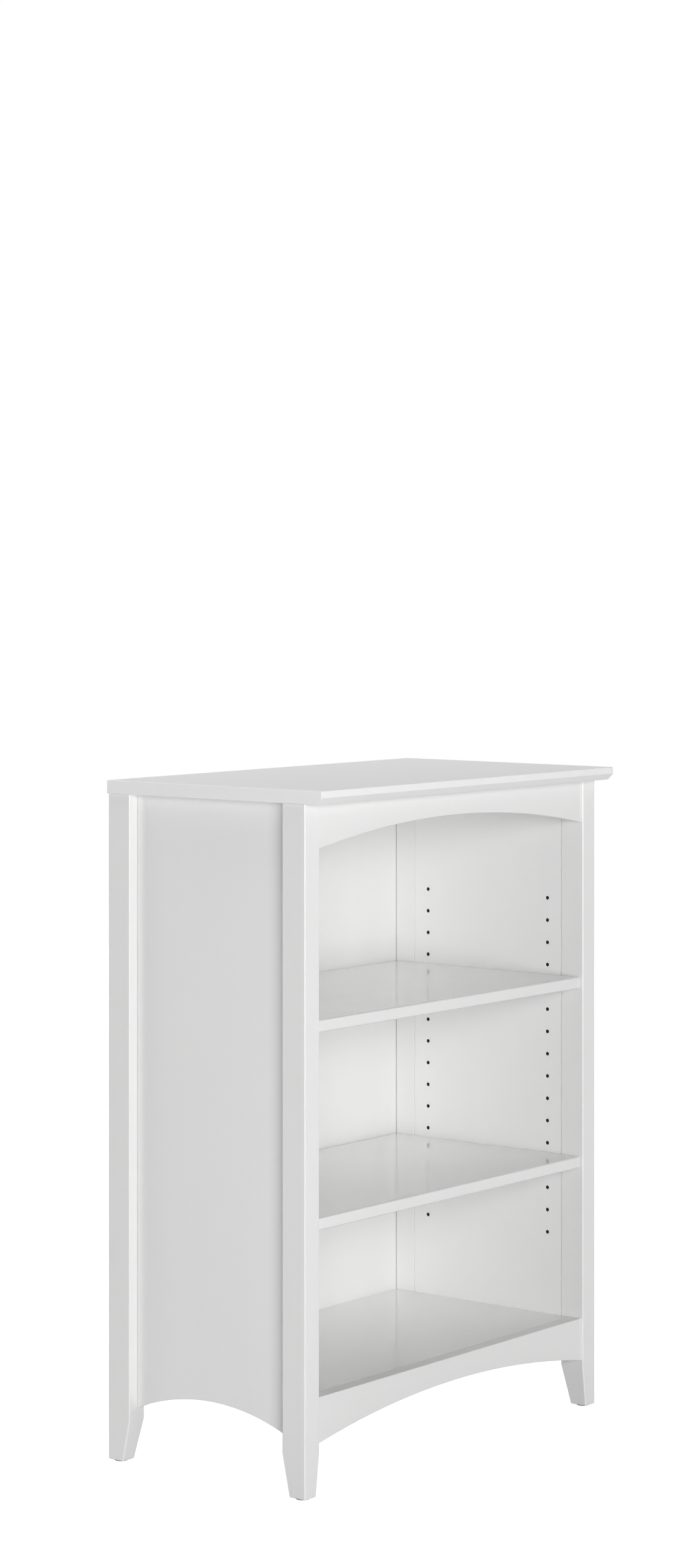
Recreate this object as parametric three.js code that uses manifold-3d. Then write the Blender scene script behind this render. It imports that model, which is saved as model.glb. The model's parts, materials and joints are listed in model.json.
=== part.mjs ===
import * as THREE from 'three';
import { mergeVertices } from 'three/addons/utils/BufferGeometryUtils.js';
import Module from 'manifold-3d';

// A small white-painted bookcase. Four full-height posts with tapered feet carry two recessed side
// panels drilled for shelf pins, a thin back panel, arched rails, a fixed bottom shelf and two
// adjustable shelves on metal pins. Millimetres, +Z up, front towards -Y, origin on the floor
// under the middle of the top panel.

// Overall case
const GAP = 0.3;
const OPENING_HALF = 300;
const POST_WIDTH = 30;
const POST_DEPTH = 38;
const POST_EASE = 1.8;
const OUTER_HALF = OPENING_HALF + POST_WIDTH;
const CASE_FRONT = -155;
const CASE_BACK = 185;

// Top panel
const TOP_Z = 914;
const TOP_THICKNESS = 18;
const TOP_CHAMFER = 9;
const TOP_HALF = 333;
const TOP_FRONT = -185;
const TOP_EASE = 1.5;
const TOP_SIDE_EASE = 1.2;
const UNDER_TOP = TOP_Z - TOP_THICKNESS;

// Feet
const FOOT_Z = 2;
const FOOT_WIDTH = 23;
const FOOT_DEPTH = 26;
const FOOT_EASE = 1.6;
const TAPER_Z = 57;
const GLIDE_RADIUS = 9;
const GLIDE_CHAMFER = 0.4;
const GLIDE_NAIL_RADIUS = 1.1;
const GLIDE_NAIL_LENGTH = 12;

// Side panels
const PANEL_THICKNESS = 14;
const PANEL_FOOT_Z = 73;
const PANEL_ARCH_RISE = 27;

// Back panel, let into rebates in the back posts
const BACK_THICKNESS = 5;
const REBATE_WIDTH = 10;

// Rails
const RAIL_HEIGHT = 60;
const RAIL_ARCH_RISE = 28;
const FRONT_RAIL_SETBACK = 3;
const FRONT_RAIL_THICKNESS = 20;
const BACK_RAIL_THICKNESS = 18;
const LOWER_BACK_RAIL_SETBACK = 4;
const BACK_RAIL_ARCH_RISE = 20;
const BOARD_EASE = 1;
const CORNER_EASE = 1.2;

// Shelves
const BOTTOM_SHELF_Z = 127;
const BOTTOM_SHELF_THICKNESS = 18;
const BOTTOM_SHELF_EASE = 0.5;
const RAIL_PROUD = 1.2;
const LOWER_RAIL_Z = BOTTOM_SHELF_Z + RAIL_PROUD;
const SHELF_THICKNESS = 16;
const SHELF_HALF = 299;
const SHELF_FRONT = CASE_FRONT + 4;
const SHELF_BACK = CASE_BACK - BACK_THICKNESS - 2;
const SHELF_EASE = 2.2;

// Pin holes on the 32 mm system, and the pins in two of the rows
const HOLE_RADIUS = 2.65;
const HOLE_DEPTH = 10;
const HOLE_PITCH = 32;
const HOLE_ROWS = 16;
const HOLE_TOP_Z = 724.3;
const HOLE_COLUMNS = { front: -93, back: 121.5 };
const PIN_ROWS = { upper: 4, lower: 12 };
const PIN_RADIUS = 2.5;
const PIN_DEPTH = 9;
const TONGUE_LENGTH = 10;
const TONGUE_WIDTH = 9;
const TONGUE_THICKNESS = 3;
const TONGUE_TOP = 2.4;
const TONGUE_NOSE = 4;
const TONGUE_HEEL = 0.5;

// Joinery
const TENON_EASE = 0.6;
const TENON_DROP = 6;
const RAIL_TENON = { thickness: 8, height: 30, reach: 15 };
const PANEL_TENON = { thickness: 6, height: 25, reach: 15 };
const PANEL_TENON_Z = { low: 250, high: 700 };
const DOWEL_RADIUS = 4;
const DOWEL_IN_PANEL = 8;
const DOWEL_IN_SHELF = 18;
const SCREW_COLUMNS = { front: -60, back: 90 };
const CLEAT_SIZE = 18;
const CLEAT_END_GAP = 2;
const TOP_SCREW = { shank: 2, head: 3.8, headLength: 3.2, length: 30 };
const BACK_SCREW = { shank: 1.75, head: 3.3, headLength: 2.4, length: 17 };
const BACK_SCREW_Z = { low: 150, middle: 480, high: 810 };
const SCREW_TIP = 0.5;
const RECESS_HALF_WIDTH = 0.6;
const RECESS_DEPTH = 1.6;

// Cutting tools run past the faces they open by CUT_OVERRUN, and pieces of one solid overlap by
// JOIN_OVERLAP before they are joined.
const CUT_OVERRUN = 1;
const JOIN_OVERLAP = 0.2;
const ARCH_STEPS = 7;

const wasm = await Module();
wasm.setup();

const bookcase = new THREE.Group();
bookcase.name = 'bookcase';

// Turns a closed three.js surface into a solid that can be joined and cut.
function toSolid(geometry) {
  const bare = geometry.clone();
  bare.deleteAttribute('normal');
  bare.deleteAttribute('uv');
  const welded = mergeVertices(bare.index ? bare.toNonIndexed() : bare, 1e-4);
  return new wasm.Manifold(new wasm.Mesh({
    numProp: 3,
    vertProperties: Float32Array.from(welded.attributes.position.array),
    triVerts: Uint32Array.from(welded.index.array),
  }));
}

// Adds one finished piece to the bookcase with its own finish.
function addPiece(name, solid, finish) {
  const surface = solid.getMesh();
  const geometry = new THREE.BufferGeometry();
  geometry.setAttribute('position', new THREE.BufferAttribute(surface.vertProperties, 3));
  geometry.setIndex(new THREE.BufferAttribute(surface.triVerts, 1));
  geometry.computeVertexNormals();
  const piece = new THREE.Mesh(geometry, new THREE.MeshStandardMaterial(finish));
  piece.name = name;
  bookcase.add(piece);
}

// Extrudes an outline between two planes. The outline is (y, z) for axis X, (x, z) for axis Y and
// (x, y) for axis Z. ease rounds the rims of both end faces without growing the outline.
function extrude(outline, axis, start, end, ease = 0, arcSteps = 2) {
  const geometry = new THREE.ExtrudeGeometry(outline, {
    depth: end - start - 2 * ease,
    bevelEnabled: ease > 0,
    bevelThickness: ease,
    bevelSize: ease,
    bevelOffset: -ease,
    bevelSegments: 2,
    curveSegments: arcSteps,
  });
  geometry.translate(0, 0, ease);
  if (axis === 'X') {
    const turn = new THREE.Matrix4().makeBasis(
      new THREE.Vector3(0, 1, 0),
      new THREE.Vector3(0, 0, 1),
      new THREE.Vector3(1, 0, 0),
    );
    geometry.applyMatrix4(turn);
    geometry.translate(start, 0, 0);
  } else if (axis === 'Y') {
    geometry.rotateX(Math.PI / 2);
    geometry.translate(0, end, 0);
  } else {
    geometry.translate(0, 0, start);
  }
  return geometry;
}

// Round bar along an axis, centred on (a, b) of the two other axes in X, Y, Z order.
function bar(axis, start, end, startRadius, endRadius, a, b, sides = 12) {
  const length = end - start;
  const middle = (start + end) / 2;
  const geometry = new THREE.CylinderGeometry(endRadius, startRadius, length, sides);
  if (axis === 'X') {
    geometry.rotateZ(-Math.PI / 2);
    geometry.translate(middle, a, b);
  } else if (axis === 'Y') {
    geometry.translate(a, middle, b);
  } else {
    geometry.rotateX(Math.PI / 2);
    geometry.translate(a, b, middle);
  }
  return toSolid(geometry);
}

function box(xs, ys, zs) {
  const geometry = new THREE.BoxGeometry(xs[1] - xs[0], ys[1] - ys[0], zs[1] - zs[0]);
  geometry.translate((xs[0] + xs[1]) / 2, (ys[0] + ys[1]) / 2, (zs[0] + zs[1]) / 2);
  return toSolid(geometry);
}

// Rectangle whose corners have the radii [low-low, high-low, high-high, low-high].
function roundedRectangle(us, vs, radii) {
  const [u0, u1] = us;
  const [v0, v1] = vs;
  const corners = [
    [u0, v0, 1, 1, Math.PI],
    [u1, v0, -1, 1, 1.5 * Math.PI],
    [u1, v1, -1, -1, 0],
    [u0, v1, 1, -1, 0.5 * Math.PI],
  ];
  const shape = new THREE.Shape();
  corners.forEach(([u, v, su, sv, angle], i) => {
    const r = radii[i];
    shape.absarc(u + su * r, v + sv * r, r, angle, angle + Math.PI / 2, false);
  });
  return shape;
}

// Upright board outline whose lower edge rises in a circular arc to a crown in the middle.
function archedOutline(us, vs, rise) {
  const half = (us[1] - us[0]) / 2;
  const radius = (half * half + rise * rise) / (2 * rise);
  const swing = Math.asin(half / radius);
  const shape = new THREE.Shape();
  shape.absarc(
    (us[0] + us[1]) / 2,
    vs[0] + rise - radius,
    radius,
    Math.PI / 2 + swing,
    Math.PI / 2 - swing,
    true,
  );
  shape.lineTo(us[1], vs[1]);
  shape.lineTo(us[0], vs[1]);
  return shape;
}

// Slot-ended outline of a loose tenon, upright in v.
function tenonOutline(u, v, size, grow) {
  const radius = size.thickness / 2 + grow;
  const straight = size.height / 2 - size.thickness / 2;
  const shape = new THREE.Shape();
  shape.absarc(u, v - straight, radius, Math.PI, 2 * Math.PI, false);
  shape.absarc(u, v + straight, radius, 0, Math.PI, false);
  return shape;
}

// Lists the four corners of the case with the signs of X and Y.
const CORNERS = [
  { name: 'front_left', x: -1, y: -1 },
  { name: 'front_right', x: 1, y: -1 },
  { name: 'back_left', x: -1, y: 1 },
  { name: 'back_right', x: 1, y: 1 },
];
const SIDES = { left: -1, right: 1 };
const PANEL_FRONT = CASE_FRONT + POST_DEPTH;
const PANEL_BACK = CASE_BACK - POST_DEPTH;
const BACK_FACE = CASE_BACK - BACK_THICKNESS;
const PANEL_MIDDLE_X = OPENING_HALF + PANEL_THICKNESS / 2;

// Orders two values so that a span built outwards from a joint is low to high on either side.
const span = (a, b) => [Math.min(a, b), Math.max(a, b)];

// Finishes
const PAINT = { color: 0xf1f1ef, roughness: 0.35, metalness: 0 };
const BACK_PAINT = { color: 0xeeeeeb, roughness: 0.42, metalness: 0 };
const BEECH = { color: 0xcfa878, roughness: 0.7, metalness: 0 };
const NICKEL = { color: 0xb9bab8, roughness: 0.28, metalness: 1 };
const ZINC = { color: 0xaeb0b0, roughness: 0.38, metalness: 1 };
const NYLON = { color: 0x8a8a88, roughness: 0.55, metalness: 0 };

// Rails: where each one stands, and the joints at its two ends.
const RAILS = {
  upper_front: {
    ys: [CASE_FRONT + FRONT_RAIL_SETBACK, CASE_FRONT + FRONT_RAIL_SETBACK + FRONT_RAIL_THICKNESS],
    zs: [UNDER_TOP - RAIL_HEIGHT, UNDER_TOP - GAP],
    rise: RAIL_ARCH_RISE,
  },
  lower_front: {
    ys: [CASE_FRONT + FRONT_RAIL_SETBACK, CASE_FRONT + FRONT_RAIL_SETBACK + FRONT_RAIL_THICKNESS],
    zs: [LOWER_RAIL_Z - RAIL_HEIGHT, LOWER_RAIL_Z],
    rise: RAIL_ARCH_RISE,
  },
  upper_back: {
    ys: [BACK_FACE - GAP - BACK_RAIL_THICKNESS, BACK_FACE - GAP],
    zs: [UNDER_TOP - RAIL_HEIGHT, UNDER_TOP - GAP],
    rise: 0,
  },
  lower_back: {
    ys: [
      CASE_BACK - LOWER_BACK_RAIL_SETBACK - BACK_RAIL_THICKNESS,
      CASE_BACK - LOWER_BACK_RAIL_SETBACK,
    ],
    zs: [LOWER_RAIL_Z - RAIL_HEIGHT, BOTTOM_SHELF_Z - BOTTOM_SHELF_THICKNESS - GAP],
    rise: BACK_RAIL_ARCH_RISE,
  },
};
const railTenonZ = (rail) => rail.zs[1] - TENON_DROP - RAIL_TENON.height / 2;

// A loose tenon or, with grow, the mortise it sits in. joint is the face between the two pieces,
// out the direction from the rail towards the post.
function railTenon(rail, side, grow) {
  const joint = side * OPENING_HALF;
  const reach = RAIL_TENON.reach - GAP + grow;
  const outline = tenonOutline((rail.ys[0] + rail.ys[1]) / 2, railTenonZ(rail), RAIL_TENON, grow);
  return toSolid(extrude(outline, 'X', joint - reach, joint + reach, grow > 0 ? 0 : TENON_EASE));
}

function panelTenon(side, jointY, z, grow) {
  const reach = PANEL_TENON.reach - GAP + grow;
  const outline = tenonOutline(side * PANEL_MIDDLE_X, z, PANEL_TENON, grow);
  return toSolid(extrude(outline, 'Y', jointY - reach, jointY + reach, grow > 0 ? 0 : TENON_EASE));
}

function shelfDowel(side, y, grow) {
  const z = BOTTOM_SHELF_Z - BOTTOM_SHELF_THICKNESS / 2;
  const outer = side * (OPENING_HALF + DOWEL_IN_PANEL + grow);
  const inner = side * (OPENING_HALF - DOWEL_IN_SHELF - grow);
  const ends = span(outer, inner);
  return bar('X', ends[0], ends[1], DOWEL_RADIUS + grow, DOWEL_RADIUS + grow, y, z);
}

// Countersunk wood screw. from is the plane of its head's face, way the direction of its point.
function screw(size, axis, from, way, a, b, grow) {
  const neck = from + way * size.headLength;
  const shoulder = from + way * (size.length - 2 * size.shank);
  const point = from + way * (size.length + grow);
  const rim = size.head + grow;
  const shank = size.shank + grow;
  const tip = SCREW_TIP + grow;
  const head = way > 0
    ? bar(axis, from, neck, rim, shank, a, b)
    : bar(axis, neck, from, shank, rim, a, b);
  const [s0, s1] = span(neck - way * JOIN_OVERLAP, shoulder);
  const body = bar(axis, s0, s1, shank, shank, a, b);
  const end = way > 0
    ? bar(axis, shoulder - JOIN_OVERLAP, point, shank, tip, a, b)
    : bar(axis, point, shoulder + JOIN_OVERLAP, tip, shank, a, b);
  return head.add(body).add(end);
}

// Cross recess in a screw's head, with arms of the given reach.
function crossRecess(axis, from, way, a, b, reach) {
  const depth = span(from - way * CUT_OVERRUN, from + way * RECESS_DEPTH);
  const long = (middle) => [middle - reach, middle + reach];
  const narrow = (middle) => [middle - RECESS_HALF_WIDTH, middle + RECESS_HALF_WIDTH];
  if (axis === 'Z') {
    return box(long(a), narrow(b), depth).add(box(narrow(a), long(b), depth));
  }
  return box(long(a), depth, narrow(b)).add(box(narrow(a), depth, long(b)));
}

// Where a glide sits under its foot, and its nail, or with grow the nail's hole.
function glideParts(corner, grow) {
  const outerY = corner.y < 0 ? CASE_FRONT : CASE_BACK;
  const x = corner.x * (OUTER_HALF - FOOT_WIDTH / 2);
  const y = outerY - corner.y * (FOOT_DEPTH / 2);
  const nail = GLIDE_NAIL_RADIUS + grow;
  const top = FOOT_Z + GLIDE_NAIL_LENGTH + grow;
  return { x, y, nail: bar('Z', FOOT_Z - GAP - JOIN_OVERLAP, top, nail, nail, x, y, 8) };
}

const topScrewX = OPENING_HALF - GAP - CLEAT_SIZE / 2;
const CLEAT_FOOT_Z = UNDER_TOP - GAP - CLEAT_SIZE;
const backScrewX = OPENING_HALF + REBATE_WIDTH / 2;

// Top panel: eased rims, and a bevel under the front edge.
{
  const radius = TOP_EASE;
  const profile = new THREE.Shape();
  profile.moveTo(TOP_FRONT + TOP_CHAMFER, UNDER_TOP);
  profile.lineTo(CASE_BACK, UNDER_TOP);
  profile.absarc(CASE_BACK - radius, TOP_Z - radius, radius, 0, Math.PI / 2, false);
  profile.absarc(TOP_FRONT + radius, TOP_Z - radius, radius, Math.PI / 2, Math.PI, false);
  profile.lineTo(TOP_FRONT, UNDER_TOP + TOP_CHAMFER);
  let top = toSolid(extrude(profile, 'X', -TOP_HALF, TOP_HALF, TOP_SIDE_EASE));
  for (const side of Object.values(SIDES)) {
    for (const y of Object.values(SCREW_COLUMNS)) {
      top = top.subtract(screw(TOP_SCREW, 'Z', CLEAT_FOOT_Z, 1, side * topScrewX, y, GAP));
    }
  }
  addPiece('top_panel', top, PAINT);
}

// Posts: eased all along, with the two inner faces tapering in towards the foot.
for (const corner of CORNERS) {
  const outerX = corner.x * OUTER_HALF;
  const outerY = corner.y < 0 ? CASE_FRONT : CASE_BACK;
  const xs = span(outerX, corner.x * OPENING_HALF);
  const ys = span(outerY, outerY - corner.y * POST_DEPTH);
  const section = roundedRectangle(xs, ys, [POST_EASE, POST_EASE, POST_EASE, POST_EASE]);
  const foot = extrude(section, 'Z', FOOT_Z, TAPER_Z + FOOT_EASE, FOOT_EASE);
  const points = foot.attributes.position;
  for (let i = 0; i < points.count; i += 1) {
    const share = THREE.MathUtils.clamp((TAPER_Z - points.getZ(i)) / (TAPER_Z - FOOT_Z), 0, 1);
    const scaleX = 1 - share * (1 - FOOT_WIDTH / POST_WIDTH);
    const scaleY = 1 - share * (1 - FOOT_DEPTH / POST_DEPTH);
    points.setX(i, outerX + (points.getX(i) - outerX) * scaleX);
    points.setY(i, outerY + (points.getY(i) - outerY) * scaleY);
  }
  const above = box(
    [xs[0] - CUT_OVERRUN, xs[1] + CUT_OVERRUN],
    [ys[0] - CUT_OVERRUN, ys[1] + CUT_OVERRUN],
    [TAPER_Z, TAPER_Z + FOOT_EASE + CUT_OVERRUN],
  );
  const shaft = toSolid(extrude(section, 'Z', TAPER_Z, UNDER_TOP - GAP));
  let post = toSolid(foot).subtract(above).add(shaft);

  const place = corner.y < 0 ? 'front' : 'back';
  for (const level of ['upper', 'lower']) {
    post = post.subtract(railTenon(RAILS[`${level}_${place}`], corner.x, GAP));
  }
  for (const z of Object.values(PANEL_TENON_Z)) {
    const jointY = corner.y < 0 ? PANEL_FRONT : PANEL_BACK;
    post = post.subtract(panelTenon(corner.x, jointY, z, GAP));
  }
  post = post.subtract(glideParts(corner, GAP).nail);
  if (corner.y > 0) {
    const rebateX = span(
      corner.x * (OPENING_HALF - CUT_OVERRUN),
      corner.x * (OPENING_HALF + REBATE_WIDTH),
    );
    const rebateZ = [BOTTOM_SHELF_Z - BOTTOM_SHELF_THICKNESS, TOP_Z];
    post = post.subtract(box(rebateX, [BACK_FACE, CASE_BACK + CUT_OVERRUN], rebateZ));
    for (const z of Object.values(BACK_SCREW_Z)) {
      post = post.subtract(screw(BACK_SCREW, 'Y', CASE_BACK, -1, corner.x * backScrewX, z, GAP));
    }
  }
  addPiece(`post_${corner.name}`, post, PAINT);
}

// Side panels: thinner than the posts and flush with their inner faces, arched below, drilled
// with two columns of pin holes on the inside.
for (const [name, side] of Object.entries(SIDES)) {
  const ys = [PANEL_FRONT + GAP, PANEL_BACK - GAP];
  const outline = archedOutline(ys, [PANEL_FOOT_Z, UNDER_TOP - GAP], PANEL_ARCH_RISE);
  const xs = span(side * OPENING_HALF, side * (OPENING_HALF + PANEL_THICKNESS));
  let panel = toSolid(extrude(outline, 'X', xs[0], xs[1], BOARD_EASE / 2, ARCH_STEPS));
  for (const y of Object.values(HOLE_COLUMNS)) {
    for (let row = 0; row < HOLE_ROWS; row += 1) {
      const z = HOLE_TOP_Z - row * HOLE_PITCH;
      const mouth = side * (OPENING_HALF - CUT_OVERRUN);
      const ends = span(mouth, side * (OPENING_HALF + HOLE_DEPTH));
      panel = panel.subtract(bar('X', ends[0], ends[1], HOLE_RADIUS, HOLE_RADIUS, y, z));
    }
  }
  for (const z of Object.values(PANEL_TENON_Z)) {
    panel = panel.subtract(panelTenon(side, PANEL_FRONT, z, GAP));
    panel = panel.subtract(panelTenon(side, PANEL_BACK, z, GAP));
  }
  for (const y of Object.values(SCREW_COLUMNS)) {
    panel = panel.subtract(shelfDowel(side, y, GAP));
  }
  addPiece(`side_panel_${name}`, panel, PAINT);
}

// Back panel with its countersunk screw holes.
{
  const half = OPENING_HALF + REBATE_WIDTH - GAP;
  const zs = [BOTTOM_SHELF_Z - BOTTOM_SHELF_THICKNESS + GAP, UNDER_TOP - GAP];
  let back = box([-half, half], [BACK_FACE + GAP, CASE_BACK], zs);
  for (const side of Object.values(SIDES)) {
    for (const z of Object.values(BACK_SCREW_Z)) {
      back = back.subtract(screw(BACK_SCREW, 'Y', CASE_BACK, -1, side * backScrewX, z, GAP));
    }
  }
  addPiece('back_panel', back, BACK_PAINT);
}

// Rails between the posts.
for (const [name, rail] of Object.entries(RAILS)) {
  const xs = [-OPENING_HALF + GAP, OPENING_HALF - GAP];
  const outline = rail.rise > 0
    ? archedOutline(xs, rail.zs, rail.rise)
    : roundedRectangle(xs, rail.zs, [CORNER_EASE, CORNER_EASE, CORNER_EASE, CORNER_EASE]);
  const arcSteps = rail.rise > 0 ? ARCH_STEPS : 1;
  let board = toSolid(extrude(outline, 'Y', rail.ys[0], rail.ys[1], BOARD_EASE, arcSteps));
  for (const side of Object.values(SIDES)) {
    board = board.subtract(railTenon(rail, side, GAP));
  }
  addPiece(`rail_${name}`, board, PAINT);
}

// Fixed bottom shelf between the side panels, the lower front rail and the back panel.
{
  const ys = [RAILS.lower_front.ys[1] + GAP, BACK_FACE];
  const zs = [BOTTOM_SHELF_Z - BOTTOM_SHELF_THICKNESS, BOTTOM_SHELF_Z];
  const ease = BOTTOM_SHELF_EASE;
  const profile = roundedRectangle(ys, zs, [ease, ease, ease, ease]);
  const half = OPENING_HALF - GAP;
  let shelf = toSolid(extrude(profile, 'X', -half, half, ease * 0.8, 1));
  for (const side of Object.values(SIDES)) {
    for (const y of Object.values(SCREW_COLUMNS)) {
      shelf = shelf.subtract(shelfDowel(side, y, GAP));
    }
  }
  addPiece('bottom_shelf', shelf, PAINT);
}

// Adjustable shelves, each lying on four pins. A whole pin is lower than its shelf, so that it can
// be drawn out of its hole under the shelf.
const SHELF_LIFT = PIN_RADIUS + GAP;
for (const [name, row] of Object.entries(PIN_ROWS)) {
  const z = HOLE_TOP_Z - row * HOLE_PITCH + SHELF_LIFT;
  const radii = [SHELF_EASE, SHELF_EASE / 2, SHELF_EASE / 2, SHELF_EASE];
  const profile = roundedRectangle([SHELF_FRONT, SHELF_BACK], [z, z + SHELF_THICKNESS], radii);
  const shelf = toSolid(extrude(profile, 'X', -SHELF_HALF, SHELF_HALF, BOARD_EASE));
  addPiece(`shelf_${name}`, shelf, PAINT);
}

// Shelf pins: a round shank in the hole and a flat tongue under the shelf, level with its top.
for (const [level, row] of Object.entries(PIN_ROWS)) {
  const z = HOLE_TOP_Z - row * HOLE_PITCH;
  for (const [name, side] of Object.entries(SIDES)) {
    for (const [column, y] of Object.entries(HOLE_COLUMNS)) {
      const joined = GAP + JOIN_OVERLAP;
      const shank = span(side * (OPENING_HALF - joined), side * (OPENING_HALF + PIN_DEPTH));
      const reach = span(
        side * (OPENING_HALF - GAP),
        side * (OPENING_HALF - GAP - TONGUE_LENGTH),
      );
      const halfWidth = TONGUE_WIDTH / 2;
      const low = side < 0 ? TONGUE_HEEL : TONGUE_NOSE;
      const high = side < 0 ? TONGUE_NOSE : TONGUE_HEEL;
      const radii = [low, high, high, low];
      const outline = roundedRectangle(reach, [y - halfWidth, y + halfWidth], radii);
      const top = z + TONGUE_TOP;
      const tongue = extrude(outline, 'Z', top - TONGUE_THICKNESS, top);
      const pin = bar('X', shank[0], shank[1], PIN_RADIUS, PIN_RADIUS, y, z);
      addPiece(`pin_${level}_${name}_${column}`, pin.add(toSolid(tongue)), NICKEL);
    }
  }
}

// Glides nailed under the feet.
for (const corner of CORNERS) {
  const { x, y, nail } = glideParts(corner, 0);
  const disc = bar('Z', 0, FOOT_Z - GAP, GLIDE_RADIUS - GLIDE_CHAMFER, GLIDE_RADIUS, x, y, 16);
  addPiece(`glide_${corner.name}`, disc.add(nail), NYLON);
}

// Cleats under the top along each side panel, and the screws that hold the top down.
for (const [name, side] of Object.entries(SIDES)) {
  const xs = span(side * (OPENING_HALF - GAP), side * (OPENING_HALF - GAP - CLEAT_SIZE));
  const zs = [CLEAT_FOOT_Z, CLEAT_FOOT_Z + CLEAT_SIZE];
  let cleat = box(xs, [PANEL_FRONT + CLEAT_END_GAP, PANEL_BACK - CLEAT_END_GAP], zs);
  for (const [column, y] of Object.entries(SCREW_COLUMNS)) {
    const x = side * topScrewX;
    const body = screw(TOP_SCREW, 'Z', CLEAT_FOOT_Z, 1, x, y, 0);
    cleat = cleat.subtract(screw(TOP_SCREW, 'Z', CLEAT_FOOT_Z, 1, x, y, GAP));
    const recess = crossRecess('Z', CLEAT_FOOT_Z, 1, x, y, 2.2);
    addPiece(`top_screw_${name}_${column}`, body.subtract(recess), ZINC);
  }
  addPiece(`top_cleat_${name}`, cleat, PAINT);
}

// Screws through the back panel into the back posts.
for (const [name, side] of Object.entries(SIDES)) {
  for (const [level, z] of Object.entries(BACK_SCREW_Z)) {
    const x = side * backScrewX;
    const body = screw(BACK_SCREW, 'Y', CASE_BACK, -1, x, z, 0);
    const recess = crossRecess('Y', CASE_BACK, -1, x, z, 1.9);
    addPiece(`back_screw_${name}_${level}`, body.subtract(recess), ZINC);
  }
}

// Loose tenons and dowels inside the joints.
for (const [sideName, side] of Object.entries(SIDES)) {
  for (const [railName, rail] of Object.entries(RAILS)) {
    addPiece(`rail_tenon_${railName}_${sideName}`, railTenon(rail, side, 0), BEECH);
  }
  for (const [level, z] of Object.entries(PANEL_TENON_Z)) {
    addPiece(`panel_tenon_${sideName}_front_${level}`, panelTenon(side, PANEL_FRONT, z, 0), BEECH);
    addPiece(`panel_tenon_${sideName}_back_${level}`, panelTenon(side, PANEL_BACK, z, 0), BEECH);
  }
  for (const [column, y] of Object.entries(SCREW_COLUMNS)) {
    addPiece(`shelf_dowel_${sideName}_${column}`, shelfDowel(side, y, 0), BEECH);
  }
}

export default bookcase;
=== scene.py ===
import json
import math

import bmesh
import bpy
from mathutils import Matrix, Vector


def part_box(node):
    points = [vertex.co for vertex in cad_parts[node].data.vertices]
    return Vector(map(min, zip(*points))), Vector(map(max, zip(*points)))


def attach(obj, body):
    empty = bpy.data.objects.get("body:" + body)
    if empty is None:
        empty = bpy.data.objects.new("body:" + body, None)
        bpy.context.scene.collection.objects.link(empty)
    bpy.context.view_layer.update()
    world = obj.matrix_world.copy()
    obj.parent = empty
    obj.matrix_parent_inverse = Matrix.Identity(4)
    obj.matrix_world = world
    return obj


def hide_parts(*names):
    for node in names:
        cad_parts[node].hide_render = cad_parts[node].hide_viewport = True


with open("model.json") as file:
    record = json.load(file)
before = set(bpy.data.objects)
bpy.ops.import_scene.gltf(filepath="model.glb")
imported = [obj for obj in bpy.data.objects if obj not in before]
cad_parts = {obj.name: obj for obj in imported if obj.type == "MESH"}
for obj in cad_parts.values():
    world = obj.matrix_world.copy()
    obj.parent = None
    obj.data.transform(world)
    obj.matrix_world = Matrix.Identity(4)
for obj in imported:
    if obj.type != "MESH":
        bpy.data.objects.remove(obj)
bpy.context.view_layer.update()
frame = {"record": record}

# A small white-painted bookcase. Every board, pin, screw and glide is made here as a finely eased
# piece in the place of its CAD node, and each has a procedural finish. Metres, +Z up, front -Y.
MM = 0.001
GAP = 0.3 * MM
SHARP = math.radians(35)

# Eased edges
EASED_PLACE = 0.01 * MM
POST_EASE = 1.8 * MM
POST_JOINT_EASE = 1.1 * MM
FOOT_EASE = 1.6 * MM
TOP_RIM_EASE = 0.5 * MM
TOP_CORNER_EASE = 1.2 * MM
TOP_CRISP_EASE = 0.6 * MM
SHELF_EASE = 2 * MM
SHELF_CORNER_EASE = 2.2 * MM
BOARD_EASE = 0.8 * MM
THIN_EASE = 0.35 * MM
TAPER_EDGE_MINIMUM = 10 * MM

# Dark joint lines: the side panels stop this far short of their boxes, and the back panel is
# stepped back this deep beyond this distance from the middle
SHADOW_LINE = 0.5 * MM
BACK_GROOVE = 1.1 * MM
BACK_GROOVE_START = 299.2 * MM

# Shapes that a node's box doesn't give
TOP_CHAMFER = 9 * MM
TAPER_Z = 57 * MM
FOOT_WIDTH = 23 * MM
FOOT_DEPTH = 26 * MM
RAIL_ARCH_RISE = 28 * MM
BACK_RAIL_ARCH_RISE = 20 * MM
PANEL_ARCH_RISE = 27 * MM
ARCH_STEPS = 56

# Pin holes on the 32 mm system
HOLE_RADIUS = 2.65 * MM
HOLE_DEPTH = 10 * MM
HOLE_BREAK = 0.25 * MM
HOLE_PITCH = 32 * MM
HOLE_ROWS = 16
UPPER_PIN_ROW = 4

# Shelf pins
PIN_RADIUS = 2.5 * MM
PIN_END_EASE = 0.6 * MM
PIN_GROOVES = 4
PIN_GROOVE_START = 1.6 * MM
PIN_GROOVE_PITCH = 1.4 * MM
PIN_GROOVE_DEPTH = 0.12 * MM
PIN_GROOVE_SLOPE = 0.15 * MM
PIN_GROOVE_WIDTH = 0.6 * MM
TONGUE_LENGTH = 10 * MM
TONGUE_TOP = 2.4 * MM
TONGUE_THICKNESS = 3 * MM
TONGUE_NOSE = 4 * MM
TONGUE_EASE = 0.5 * MM
TONGUE_OVERLAP = 0.4 * MM
NOSE_STEPS = 16

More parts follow.
